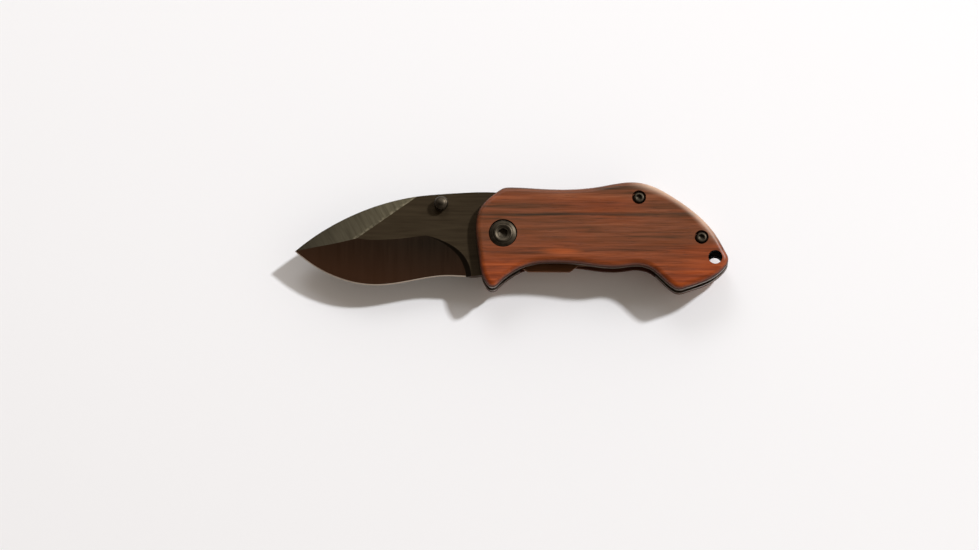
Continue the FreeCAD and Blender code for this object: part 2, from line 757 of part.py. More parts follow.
def make_parts():
    parts = [make_scale("front_scale", True), make_scale("rear_scale", False)]
    parts += [make_liner("front_liner", True), make_liner("rear_liner", False)]
    parts += [make_lock_bar(), make_blade()]
    parts += [make_stud("thumb_stud_front", True), make_stud("thumb_stud_rear", False)]
    parts += [make_pivot_screw("pivot_screw_front", True), make_pivot_screw("pivot_screw_rear", False)]
    parts.append(make_sleeve("pivot_barrel", pivot, "barrel_diameter", "barrel_bore",
                             "2 * liner_outer", "-liner_outer"))
    washer = ("washer_diameter", "barrel_diameter + 2 * running_fit", "washer_space - washer_slack")
    parts.append(make_sleeve("front_washer", pivot, *washer, "blade_half + washer_slack"))
    parts.append(make_sleeve("rear_washer", pivot, *washer, "-liner_inner"))
    parts.append(make_sleeve("stop_pin", stop_pin_centre, "stop_pin_diameter", None,
                             "2 * liner_outer", "-liner_outer"))
    for end, centre in screw_centres.items():
        parts.append(make_sleeve(end + "_standoff", centre, "standoff_diameter",
                                 "screw_shank_diameter + 2 * thread_fit", "2 * liner_inner", "-liner_inner"))
        for side, flipped in (("front", False), ("rear", True)):
            parts.append(make_button_screw(f"{end}_screw_{side}", centre, "screw_seat", "screw_spacing / 2",
                                           "screw_head_diameter", "screw_head_height", flipped))
    parts.append(make_clip())
    for end, centre in clip_screws.items():
        parts.append(make_button_screw(f"clip_screw_{end}", centre, "(scale_outer + clip_thickness)",
                                       "(liner_inner + clip_screw_short)", "clip_screw_head_diameter",
                                       "clip_screw_head_height", True))
    return parts


parts = make_parts()
doc.recompute()
for item in doc.Objects:
    if "Invalid" in item.State or "Error" in item.State:
        raise RuntimeError(f"{item.Label} is {item.State}")
for part in parts:
    if part.Shape.isNull() or not part.Shape.isValid() or len(part.Shape.Solids) != 1:
        raise RuntimeError(f"{part.Label} is not one valid solid")
os.makedirs("parts", exist_ok=True)
for part in parts:
    part.Shape.exportStep(f"parts/{part.Label}.step")
    print(f"{part.Label}: {part.Shape.Volume:.1f} mm3")
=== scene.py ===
import json
import math
from functools import partial

import bpy
import numpy as np
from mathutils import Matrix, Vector


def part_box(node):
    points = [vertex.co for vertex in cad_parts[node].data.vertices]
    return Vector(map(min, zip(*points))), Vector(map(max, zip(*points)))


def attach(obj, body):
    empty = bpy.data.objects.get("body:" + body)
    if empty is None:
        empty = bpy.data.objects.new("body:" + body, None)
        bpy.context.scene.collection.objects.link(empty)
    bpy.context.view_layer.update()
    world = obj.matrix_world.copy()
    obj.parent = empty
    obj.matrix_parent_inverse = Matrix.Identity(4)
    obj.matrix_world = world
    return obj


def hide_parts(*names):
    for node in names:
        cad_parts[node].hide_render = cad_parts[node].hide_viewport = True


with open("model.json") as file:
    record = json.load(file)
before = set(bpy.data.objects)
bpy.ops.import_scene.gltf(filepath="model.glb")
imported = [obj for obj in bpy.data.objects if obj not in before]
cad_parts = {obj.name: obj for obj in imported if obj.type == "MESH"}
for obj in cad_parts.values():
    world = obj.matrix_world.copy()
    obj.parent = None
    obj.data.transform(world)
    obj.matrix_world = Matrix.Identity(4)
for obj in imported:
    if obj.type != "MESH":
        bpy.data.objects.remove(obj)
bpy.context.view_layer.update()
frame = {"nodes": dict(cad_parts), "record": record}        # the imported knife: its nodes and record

nodes = frame["nodes"]
mounts = {mount["name"]: mount for mount in frame["record"]["mounts"]}
mm = 0.001
noiseLow, noiseHigh = 0.3, 0.7   # most values of a noise texture lie between these
print("frame loaded:", len(nodes), "nodes")


def linear(hexColour):  # sRGB hex to the linear values that shader sockets take
    srgb = np.array([int(hexColour[i:i + 2], 16) for i in (1, 3, 5)]) / 255
    values = np.where(srgb <= 0.04045, srgb / 12.92, ((srgb + 0.055) / 1.055) ** 2.4)
    return (*values.tolist(), 1.0)


# a Mix node's input 0 is its share, 2 and 3 are its numbers, 6 and 7 and its output 2 are its colours
def put(tree, kind, inputs, stops=(), out=0, **settings):  # adds a node with its settings and links
    node = tree.nodes.new("ShaderNode" + kind)
    for name, value in settings.items():
        setattr(node, name, value)
    for key, value in inputs.items():
        if isinstance(value, bpy.types.NodeSocket):
            tree.links.new(value, node.inputs[key])
        else:
            node.inputs[key].default_value = value
    if stops:
        positions, colours = zip(*stops)
        elements = node.color_ramp.elements
        elements[0].position, elements[1].position = positions[0], positions[-1]
        for position in positions[1:-1]:
            elements.new(position)
        for element, colour in zip(elements, colours):
            element.color = linear(colour)
    return node.outputs[out]


def newMaterial(name, **sockets):  # a principled material with the values that are the same all over it
    material = bpy.data.materials.new(name)
    material.use_nodes = True
    shader = material.node_tree.nodes["Principled BSDF"]
    for socket, value in sockets.items():
        shader.inputs[socket.replace("_", " ")].default_value = value
    return material, shader, partial(put, material.node_tree)


def wire(shader, links):  # joins the finished colour, gloss and bump to the shader
    for socket, value in links.items():
        shader.id_data.links.new(value, shader.inputs[socket])


def spread(*sizes):  # Mapping scale that makes a pattern's cell the given sizes in mm along x, y and z
    return tuple(1 / (size * mm) for size in sizes)


def layered(add, colour, layers):  # lays each colour over the last where its mask is 1
    for mask, over in layers:
        over = linear(over) if isinstance(over, str) else over
        colour = add("Mix", {0: mask, 6: colour, 7: over}, out=2, data_type="RGBA")
    return colour


def facingOf(add):  # the surface's own direction in the piece's frame
    normal = add("NewGeometry", {}, out="Normal")
    return add("VectorTransform", {"Vector": normal}, vector_type="NORMAL",
               convert_from="WORLD", convert_to="OBJECT")


# the lanyard hole, with painted shade inside: its walls are coloured black, dull and without reflection
lanyard = {
    "woodShadeReach": 0.03,   # mm, how far the painted shade reaches out from the wall on the wooden scales
    "steelShadeReach": 1.0,   # mm, the same on the liners
    # the painted shade's colour in the lanyard hole
    "holeShadeTint": "#0B0705",
}


def holeWall(add, place, margin):  # 1 nearer to the hole's axis than its radius and the margin, 0 further out
    x, y = mounts["lanyard_hole"]["pos_m"][:2]
    reach = (mounts["lanyard_hole"]["dims"]["r_mm"] + margin) * mm
    across = add("Mapping", {"Vector": place, "Location": (-x, -y, 0), "Scale": (1, 1, 0)})
    away = add("VectorMath", {0: across}, out="Value", operation="LENGTH")
    return add("Math", {0: away, 1: reach}, operation="LESS_THAN")


# wooden scales
rosewood = {
    "ringCentre": (0.0, 46.0, 30.0),     # mm, the tree's middle, above the back of the knife
    "ringWidth": 2.6,                    # mm, width of the light and dark bands
    "ringShift": 2.0,                    # picks the part of the tree that the scales were sawn from
    "drift": 2.4,                        # mm, how far the bands wander
    "driftCell": (80.0, 16.0, 16.0),     # mm, the stretch over which they wander
    "strandCell": (24.0, 1.25, 1.25),    # mm, strands of lighter and darker wood
    "fibreCell": (12.0, 0.45, 0.45),     # mm, real fibres are finer, drawn about a pixel wide to show
    "poreCell": (4.5, 0.34, 0.34),       # mm, open pores, drawn about twice as wide as real ones to show
    "patchCell": (40.0, 9.0, 9.0),       # mm, redder and more orange patches
    "detail": {"drift": 2.0, "strand": 3.0, "fibre": 2.0, "pore": 1.0, "patch": 1.0},   # finer noise within
    "strandShare": 0.5,                  # how much the strands count against the bands
    "fibreShare": 0.25,                  # how much the fibres count against both
    "toneRange": (0.11, 0.89),           # the mixed tones are stretched from this range
    "streaks": [(7.7, 1.2, 0.85), (-1.9, 1.9, 0.5)],   # mm along y, half width in mm, and strength
    "streakDepth": 0.35,                 # how much a full streak darkens the tone
    "warmSide": (-1.0, -15.0),           # mm along y, the wood grows more orange between these
    "warmMost": 0.75,                    # how orange it is there
    "patchRange": (0.44, 0.74),          # values of the patch noise, from no patch to a full one
    "patchMost": 0.55,                   # how orange a full patch is
    "flame": (18.0, -6.4),               # mm, the middle of one orange flame in the figure
    "flameSize": (9.0, 1.9),             # mm, its half length and half width
    "flameCore": 0.3, "flameMost": 0.8,  # the share of it that is full, and how orange that is
    "slopeCentre": (37.1, -22.1),        # mm, the middle of the back slope's arc
    "highlightFrom": 39.4, "highlightFull": 42.9,  # mm from that middle, a painted highlight makes the wood paler between these
    "highlightSpan": (26, 40, 72, 84),        # degrees round that middle, the painted highlight fades in and out
    "highlightMost": 0.9,                     # how pale the painted highlight is
    "wallTurn": (0.8, 0.15),             # upright part of the facing, painted shade darkens the rim between these
    "wallMost": 0.84,                    # how dark the painted shade on the walls and insides is
    "wallRubbed": 0.1,                   # how much of that is left under the rim's painted highlight
    "poreRange": (0.6, 0.72),            # values of the pore noise, from none to an open pore
    "poreMost": 0.3,                     # how dark an open pore is
    "specular": 0.38, "roughness": (0.33, 0.47),   # the sheen of the oil
    "bump": 0.35, "bumpHeight": 0.04,    # strength, and the height of the fibres in mm
    "brown": [(0.24, "#2A1A09"), (0.36, "#4E2E17"), (0.48, "#69381C"), (0.57, "#733E22"), (0.7, "#804A2C")],
    "orange": [(0.24, "#56220A"), (0.48, "#86380D"), (0.7, "#AA4F1B")],
    # the wall colour is painted shade on the walls and insides, the worn colour the painted highlight on the back
    # slope's rim
    "pore": "#26130A", "wearAndHighlight": "#C3A48E", "wall": "#2A140A", "flameTint": "#B85E2A",
}


def oiledRosewood():
    # rosewood, sanded along the grain and oiled: red brown with dark bands, broken strands and a satin sheen
    # besides its own colour, the wood carries painted shade on its walls, its insides and in the lanyard hole,
    # and a painted highlight on the back slope's rim
    wood = rosewood
    material, shader, add = newMaterial("rosewoodSandedOiled", Specular_IOR_Level=wood["specular"])
    place = add("TexCoord", {}, out="Object")
    x = add("SeparateXYZ", {"Vector": place}, out="X")
    y = add("SeparateXYZ", {"Vector": place}, out="Y")
    noise = {}
    for name, detail in wood["detail"].items():
        cells = add("Mapping", {"Vector": place, "Scale": spread(*wood[name + "Cell"])})
        noise[name] = add("TexNoise", {"Vector": cells, "Scale": 1.0, "Detail": detail, "Roughness": 0.6})

    # bands: noise along the distance from the tree's middle, which the drift pushes in and out
    middle = tuple(-value * mm for value in wood["ringCentre"])
    across = add("Mapping", {"Vector": place, "Location": middle, "Scale": (0, 1, 1)})
    radius = add("VectorMath", {0: across}, out="Value", operation="LENGTH")
    drift = wood["drift"] * mm
    wander = add("MapRange", {"Value": noise["drift"], "To Min": -drift, "To Max": drift})
    ring = add("Math", {0: radius, 1: wander}, operation="ADD")
    ring = add("Math", {0: ring, 1: 1 / (wood["ringWidth"] * mm)}, operation="MULTIPLY")
    ring = add("Math", {0: ring, 1: wood["ringShift"]}, operation="ADD")
    bands = add("TexNoise", {"W": ring, "Scale": 1.0, "Detail": 2.0}, noise_dimensions="1D")
    tone = add("Mix", {0: wood["strandShare"], 2: bands, 3: noise["strand"]})
    tone = add("Mix", {0: wood["fibreShare"], 2: tone, 3: noise["fibre"]})
    low, high = wood["toneRange"]
    tone = add("MapRange", {"Value": tone, "From Min": low, "From Max": high})

    # heart streaks: the tone falls smoothly towards lines along x that wander with the bands
    wavy = add("Math", {0: y, 1: wander}, operation="ADD")
    for line, halfWidth, strength in wood["streaks"]:
        away = add("Math", {0: wavy, 1: -line * mm}, operation="ADD")
        away = add("Math", {0: away}, operation="ABSOLUTE")
        dark = add("MapRange", {"Value": away, "From Max": halfWidth * mm, "To Min": strength, "To Max": 0.0},
                   interpolation_type="SMOOTHSTEP")
        dark = add("Math", {0: dark, 1: noise["fibre"]}, operation="MULTIPLY")
        tone = add("Math", {0: dark, 1: -wood["streakDepth"], 2: tone}, operation="MULTIPLY_ADD")

    # warmth: more orange towards the belly, in patches, and in one flame
    top, bottom = wood["warmSide"]
    belly = add("MapRange", {"Value": y, "From Min": top * mm, "From Max": bottom * mm,
                             "To Max": wood["warmMost"]})
    low, high = wood["patchRange"]
    patch = add("MapRange", {"Value": noise["patch"], "From Min": low, "From Max": high,
                             "To Max": wood["patchMost"]})
    warmth = add("Math", {0: belly, 1: patch}, operation="ADD", use_clamp=True)
    (flameX, flameY), (halfX, halfY) = wood["flame"], wood["flameSize"]
    flame = add("CombineXYZ", {"X": x, "Y": wavy})
    flame = add("Mapping", {"Vector": flame, "Location": (-flameX / halfX, -flameY / halfY, 0),
                            "Scale": spread(halfX, halfY, 1)})
    flame = add("VectorMath", {0: flame}, out="Value", operation="LENGTH")
    flame = add("MapRange", {"Value": flame, "From Min": wood["flameCore"], "From Max": 1.0,
                             "To Min": wood["flameMost"], "To Max": 0.0})
    warmth = add("Math", {0: warmth, 1: flame}, operation="MAXIMUM")
    flameFibres = add("Math", {0: flame, 1: noise["fibre"]}, operation="MULTIPLY")

    # painted highlight on the back slope's rim: grows with the distance from the slope's middle, within a span of
    # angles round it
    slope = tuple(-value * mm for value in wood["slopeCentre"])
    fromSlope = add("Mapping", {"Vector": place, "Location": (*slope, 0), "Scale": (1, 1, 0)})
    far = add("VectorMath", {0: fromSlope}, out="Value", operation="LENGTH")
    rimHighlight = add("MapRange", {"Value": far, "From Min": wood["highlightFrom"] * mm,
                              "From Max": wood["highlightFull"] * mm, "To Max": wood["highlightMost"]},
                 interpolation_type="SMOOTHSTEP")
    slopeX = add("SeparateXYZ", {"Vector": fromSlope}, out="X")
    slopeY = add("SeparateXYZ", {"Vector": fromSlope}, out="Y")
    turn = add("Math", {0: slopeY, 1: slopeX}, operation="ARCTAN2")
    turn = add("Math", {0: turn, 1: math.pi}, operation="DIVIDE")
    fades = zip(wood["highlightSpan"], ("#000000", "#FFFFFF", "#FFFFFF", "#000000"))
    span = add("ValToRGB", {"Fac": turn}, stops=[(angle / 180, shade) for angle, shade in fades])
    # this band is a painted highlight, not wear
    rimHighlight = add("Math", {0: rimHighlight, 1: span}, operation="MULTIPLY")

    # walls: painted shade, darker as the rim turns away from the face, but not under the rim's painted highlight
    facingZ = add("SeparateXYZ", {"Vector": facingOf(add)}, out="Z")
    upright = add("Math", {0: facingZ}, operation="ABSOLUTE")
    start, end = wood["wallTurn"]
    walls = add("MapRange", {"Value": upright, "From Min": start, "From Max": end,
                             "To Max": wood["wallMost"]})
    kept = add("MapRange", {"Value": rimHighlight, "To Min": 1.0, "To Max": wood["wallRubbed"]})
    walls = add("Math", {0: walls, 1: kept}, operation="MULTIPLY")

    # insides: the same painted shade, where the wood faces the blade's slot; there the height over the slot's
    # middle times the upright part of the facing is below 0
    height = add("SeparateXYZ", {"Vector": place}, out="Z")
    height = add("Math", {0: height, 1: -mounts["lanyard_hole"]["pos_m"][2]}, operation="ADD")
    outward = add("Math", {0: height, 1: facingZ}, operation="MULTIPLY")
    inside = add("Math", {0: outward, 1: 0.0}, operation="LESS_THAN")
    inside = add("Math", {0: inside, 1: wood["wallMost"]}, operation="MULTIPLY")
    walls = add("Math", {0: walls, 1: inside}, operation="MAXIMUM")

    low, high = wood["poreRange"]
    pores = add("MapRange", {"Value": noise["pore"], "From Min": low, "From Max": high})
    filled = add("Math", {0: pores, 1: wood["poreMost"]}, operation="MULTIPLY")
    # painted shade inside the lanyard hole
    holeShade = holeWall(add, place, lanyard["woodShadeReach"])
    brown = add("ValToRGB", {"Fac": tone}, stops=wood["brown"])
    orange = add("ValToRGB", {"Fac": tone}, stops=wood["orange"])
    # over the wood's own colour: the rim's painted highlight, and painted shade on walls, insides and the lanyard
    # hole
    colour = layered(add, brown, [
        (warmth, orange), (filled, wood["pore"]), (rimHighlight, wood["wearAndHighlight"]), (walls, wood["wall"]),
        (flameFibres, wood["flameTint"]), (holeShade, lanyard["holeShadeTint"]),
    ])
    low, high = wood["roughness"]
    rough = add("MapRange", {"Value": noise["fibre"], "From Min": noiseLow, "From Max": noiseHigh,
                             "To Min": low, "To Max": high})
    dull = add("Math", {0: walls, 1: holeShade}, operation="MAXIMUM")
    rough = add("Math", {0: rough, 1: dull}, operation="MAXIMUM")
    grain = add("Math", {0: noise["fibre"], 1: pores}, operation="SUBTRACT")
    bump = add("Bump", {"Strength": wood["bump"], "Distance": wood["bumpHeight"] * mm, "Height": grain})
    wire(shader, {"Base Color": colour, "Roughness": rough, "Normal": bump})
    return material


# blade
bladeSteel = {
    "flatTilt": 1.5,                  # degrees, the flats tilt less than this from the blade's faces
    "edgeTilt": (13.0, 24.0),         # degrees, only the sharpened edge tilts between these
    "plungeTilt": (25.5, 75.0),       # degrees, only the step at the end of the bevel tilts between these; painted shade darkens it
    "flatCell": (16.0, 0.6, 16.0),    # mm, satin lines along the flats, drawn coarser than 120 grit to show
    "bevelCell": (0.7, 18.0, 18.0),   # mm, grinding lines from the spine to the edge, also coarse
    "swedgeCell": (14.0, 0.9, 14.0),  # mm, grinding lines across the swedge
    "swedgeTurn": 118.0,              # degrees, from the x axis to the swedge's lines
    "reflectionFrom": (-30.0, -2.0), "reflectionTo": (-80.0, -16.0),   # mm, x and y, the bevel's painted warm reflection grows browner between these
    "reflectionShare": (0.7, 0.8),          # how much of that is due to x and to y
    "wearCell": (1.1, 1.1, 1.1),      # mm, spots along the swedge's lower edge with the blacking rubbed thin
    "wearDepth": 0.15,                # mm below the flat, how far down the swedge these spots reach
    "wearRange": (0.42, 0.68),        # values of their noise, from none to a full spot
    "wearMost": 0.6,                  # how bare a full spot is
    "metallic": 0.6, "specular": 0.35, "roughness": (0.36, 0.48),   # between bare steel and a black skin
    "bump": 0.12, "bumpHeight": 0.02,  # strength, and the height of the lines in mm
    "flat": ("#352A1B", "#3F3423"), "bevel": ("#1E140A", "#261B0E"), "swedge": ("#504A39", "#746D58"),
    "bevelWarmReflection": "#3D2412", "swedgeTip": "#2E281D", "plunge": "#1A130A", "edge": "#CDBFB1",
    "wear": "#A0977E",
}


def blackedBladeSteel():
    # tool steel, ground, then blacked in hot salts: brown-black flats, darker bevels, grey swedge, bare edge
    # painted on the blade: a warm reflection browning the bevel towards the tip and the edge, and shade in the
    # plunge
    steel = bladeSteel
    material, shader, add = newMaterial("toolSteelGroundBlacked", Metallic=steel["metallic"],
                                        Specular_IOR_Level=steel["specular"])
    place = add("TexCoord", {}, out="Object")
    facing = facingOf(add)
    facingY = add("SeparateXYZ", {"Vector": facing}, out="Y")
    facingZ = add("SeparateXYZ", {"Vector": facing}, out="Z")
    upright = add("Math", {0: facingZ}, operation="ABSOLUTE")
    tilt = add("Math", {0: add("Math", {0: upright}, operation="ARCCOSINE")}, operation="DEGREES")
    ground = add("Math", {0: tilt, 1: steel["flatTilt"]}, operation="GREATER_THAN")
    toSpine = add("Math", {0: facingY, 1: 0.0}, operation="GREATER_THAN")
    between = {}
    for name in ("edge", "plunge"):   # 1 where the surface tilts between the piece's two angles
        low, high = steel[name + "Tilt"]
        between[name] = add("Math", {0: tilt, 1: (low + high) / 2, 2: (high - low) / 2}, operation="COMPARE")

    # grinding lines: noise stretched along one direction, which is turned on the swedge
    lines, colours = {}, {}
    for name, turn in (("flat", 0.0), ("bevel", 0.0), ("swedge", steel["swedgeTurn"])):
        rotated = add("Mapping", {"Vector": place, "Rotation": (0, 0, -math.radians(turn))})
        cells = add("Mapping", {"Vector": rotated, "Scale": spread(*steel[name + "Cell"])})
        lines[name] = add("TexNoise", {"Vector": cells, "Scale": 1.0, "Detail": 3.0, "Roughness": 0.65})
        tones = list(zip((noiseLow, noiseHigh), steel[name]))
        colours[name] = add("ValToRGB", {"Fac": lines[name]}, stops=tones)

    # painted warm reflection: the bevel grows browner along x to the tip and along y to the edge
    reach = []
    for axis, start, end, share in zip("XY", steel["reflectionFrom"], steel["reflectionTo"], steel["reflectionShare"]):
        along = add("SeparateXYZ", {"Vector": place}, out=axis)
        reach.append(add("MapRange", {"Value": along, "From Min": start * mm, "From Max": end * mm,
                                      "To Max": share}))
    warmReflection = add("Math", {0: reach[0], 1: reach[1]}, operation="ADD", use_clamp=True)
    toTip = add("Math", {0: reach[0], 1: 1 / steel["reflectionShare"][0]}, operation="MULTIPLY")

    # wear: spots of noise that fade with the depth below the nearer face of the blade
    low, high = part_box("blade")
    inside = add("SeparateXYZ", {"Vector": place}, out="Z")
    inside = add("Math", {0: inside, 1: -(low.z + high.z) / 2}, operation="ADD")
    inside = add("Math", {0: inside}, operation="ABSOLUTE")
    face = (high.z - low.z) / 2
    ridge = add("MapRange", {"Value": inside, "From Min": face - steel["wearDepth"] * mm, "From Max": face})
    cells = add("Mapping", {"Vector": place, "Scale": spread(*steel["wearCell"])})
    spots = add("TexNoise", {"Vector": cells, "Scale": 1.0, "Detail": 1.0})
    low, high = steel["wearRange"]
    spots = add("MapRange", {"Value": spots, "From Min": low, "From Max": high, "To Max": steel["wearMost"]})
    wearAndHighlight = add("Math", {0: ridge, 1: spots}, operation="MULTIPLY")

    # the brown over the bevel is a painted warm reflection
    bevel = layered(add, colours["bevel"], [(warmReflection, steel["bevelWarmReflection"])])
    swedge = layered(add, colours["swedge"], [(toTip, steel["swedgeTip"]), (wearAndHighlight, steel["wear"])])
    grind = layered(add, bevel, [(toSpine, swedge)])
    # the plunge's dark colour is painted shade
    colour = layered(add, colours["flat"], [(ground, grind), (between["plunge"], steel["plunge"]),
                                            (between["edge"], steel["edge"])])
    surface = add("Mix", {0: toSpine, 2: lines["bevel"], 3: lines["swedge"]})
    surface = add("Mix", {0: ground, 2: lines["flat"], 3: surface})
    low, high = steel["roughness"]
    rough = add("MapRange", {"Value": surface, "From Min": noiseLow, "From Max": noiseHigh,
                             "To Min": low, "To Max": high})
    bump = add("Bump", {"Strength": steel["bump"], "Distance": steel["bumpHeight"] * mm, "Height": surface})
    wire(shader, {"Base Color": colour, "Roughness": rough, "Normal": bump})
    return material


# plain metals
patterns = {
    "rolled": (26.0, 0.4, 0.4),       # mm, rolling lines along a sheet, drawn coarse
    "turned": (0.35, 0.35, 0.28),     # mm, turning lines round a pin, drawn coarse
    "cloudy": (3.0, 3.0, 3.0),        # mm, cloudy tarnish
    "gloss": (-0.06, 0.1),            # how far the roughness strays from a metal's own value
    "bump": 0.2, "bumpHeight": 0.02,  # strength, and the height of the lines in mm
}
plainMetals = {
    # sheet with long rolled lines, with painted shade in the lanyard hole: black, dull and without reflection
    # there
    "stainlessSheetSatin": {"tones": ("#6A5F55", "#8A7D71"), "pattern": "rolled", "roughness": 0.34,
                            "holeShadeReach": lanyard["steelShadeReach"], "parts": ["front_liner", "rear_liner"]},
    # the same lines, in a brown that paints in the lock bar's shade and the warm light it reflects
    "lockSteelPaintedWarmShade": {"tones": ("#855A40", "#AF7C5C"), "pattern": "rolled", "roughness": 0.4,
                            "parts": ["lock_bar"]},
    # fine bright rings
    "plainSteelTurned": {"tones": ("#8A8782", "#AFACA6"), "pattern": "turned", "roughness": 0.3,
                         "parts": ["pivot_barrel", "stop_pin", "spine_standoff", "butt_standoff"]},
    # warm, with dull clouds
    "phosphorBronzeRolled": {"tones": ("#8A6A3C", "#B48F57"), "pattern": "cloudy", "roughness": 0.36,
                             "parts": ["front_washer", "rear_washer"]},
    # dark and faintly lined
    "springSteelBlacked": {"tones": ("#302D29", "#3C3934"), "pattern": "rolled", "roughness": 0.42,
                           "parts": ["pocket_clip"]},
}


def plainMetal(name, finish):
    # metal with lines or clouds, which vary its colour a little and its gloss more
    material, shader, add = newMaterial(name, Metallic=1.0)
    place = add("TexCoord", {}, out="Object")
    cells = add("Mapping", {"Vector": place, "Scale": spread(*patterns[finish["pattern"]])})
    lines = add("TexNoise", {"Vector": cells, "Scale": 1.0, "Detail": 3.0, "Roughness": 0.6})
    colour = add("ValToRGB", {"Fac": lines}, stops=list(zip((noiseLow, noiseHigh), finish["tones"])))
    if "holeShadeReach" in finish:
        # painted shade inside the lanyard hole: black, and neither metallic nor glossy there
        holeShade = holeWall(add, place, finish["holeShadeReach"])
        colour = layered(add, colour, [(holeShade, lanyard["holeShadeTint"])])
        shader.inputs["Specular IOR Level"].default_value = 0.0
        wire(shader, {"Metallic": add("MapRange", {"Value": holeShade, "To Min": 1.0, "To Max": 0.0})})
    less, more = patterns["gloss"]
    rough = add("MapRange", {"Value": lines, "From Min": noiseLow, "From Max": noiseHigh,
                             "To Min": finish["roughness"] + less, "To Max": finish["roughness"] + more})
    bump = add("Bump", {"Strength": patterns["bump"], "Distance": patterns["bumpHeight"] * mm,
                        "Height": lines})
    wire(shader, {"Base Color": colour, "Roughness": rough, "Normal": bump})
    return material


finishes = {oiledRosewood(): ["front_scale", "rear_scale"], blackedBladeSteel(): ["blade"]}
for name, finish in plainMetals.items():
    finishes[plainMetal(name, finish)] = finish["parts"]
for material, parts in finishes.items():
    for part in parts:
        nodes[part].material_slots[0].material = material
print("finishes on the solid parts:", len(finishes))

# screws, pivot heads and thumb studs
turned = {
    "ringLine": 0.3,                  # mm, turning rings on the heads, drawn coarse enough to show
    "cloudCell": (1.6, 1.6, 1.6),     # mm, cloudy patches in the blacking
    "cloudShare": 0.5,                # how much the clouds count against the rings
    "tones": ("#322D25", "#544C41"),
    "toneRange": (0.32, 0.68),        # values of the mixed noise, from the dark tone to the pale one
    "roughness": (0.38, 0.52),        # in the dark tone and in the pale one
    "bump": 0.3, "bumpHeight": 0.02,  # strength, and the height of the rings in mm
    "around": 96,                     # points round each turned piece
    "cornerCut": 0.07,                # mm, how far each corner of a profile is eased
    "cornerMost": 0.45,               # the largest share of a side that this takes
    "cornerSteps": 4,                 # points on each eased corner
    "domeSteps": 9,                   # points on each dome
    "crispFrom": 32.0,                # degrees, edges that turn by more stay crisp
}


def blackOxide():
    # screw steel, turned, then blacked: near black with faint rings from the turning and a soft oily gloss
    material, shader, add = newMaterial("screwSteelTurnedBlacked", Metallic=1.0)
    along = add("Attribute", {}, out="Fac", attribute_name="profileLength")
    rings = add("TexNoise", {"W": along, "Scale": 1 / turned["ringLine"]}, noise_dimensions="1D")
    place = add("TexCoord", {}, out="Object")
    cells = add("Mapping", {"Vector": place, "Scale": spread(*turned["cloudCell"])})
    clouds = add("TexNoise", {"Vector": cells, "Scale": 1.0, "Detail": 3.0})
    tone = add("Mix", {0: turned["cloudShare"], 2: rings, 3: clouds})
    colour = add("ValToRGB", {"Fac": tone}, stops=list(zip(turned["toneRange"], turned["tones"])))
    low, high = turned["roughness"]
    rough = add("MapRange", {"Value": tone, "From Min": noiseLow, "From Max": noiseHigh,
                             "To Min": low, "To Max": high})
    bump = add("Bump", {"Strength": turned["bump"], "Distance": turned["bumpHeight"] * mm, "Height": rings})
    wire(shader, {"Base Color": colour, "Roughness": rough, "Normal": bump})
    return material


screwBlack = blackOxide()


def headOf(node, front):  # the middle of a head's top, the way it faces, its radius and whole length in mm
    low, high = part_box(node)
    middle = np.array([(low.x + high.x) / 2, (low.y + high.y) / 2, high.z if front else low.z])
    return middle, 1 if front else -1, (high.x - low.x) / 2 / mm, (high.z - low.z) / mm


def dome(inner, outer, top, rim):
    # a quarter of an ellipse: at angle a the radius is inner + (outer - inner) sin a,
    # and the height is rim + (top - rim) cos a
    a = np.linspace(0, np.pi / 2, turned["domeSteps"])[1:-1]
    return np.stack([inner + (outer - inner) * np.sin(a), rim + (top - rim) * np.cos(a), 0 * a], axis=1)


def easedCorners(profile):
    # each corner gives way to a short curve: start, corner and end weighted (1 - t)^2, 2 t (1 - t) and t^2
    before, corner, after = profile[:-2], profile[1:-1], profile[2:]
    back = np.linalg.norm((before - corner)[:, :2], axis=1, keepdims=True)
    ahead = np.linalg.norm((after - corner)[:, :2], axis=1, keepdims=True)
    start = corner + (before - corner) * np.minimum(turned["cornerCut"] / back, turned["cornerMost"])
    end = corner + (after - corner) * np.minimum(turned["cornerCut"] / ahead, turned["cornerMost"])
    t = np.linspace(0, 1, turned["cornerSteps"])[None, :, None]
    curve = (1 - t) ** 2 * start[:, None] + 2 * t * (1 - t) * corner[:, None] + t ** 2 * end[:, None]
    return np.vstack([profile[:1], curve.reshape(-1, 3), profile[-1:]])


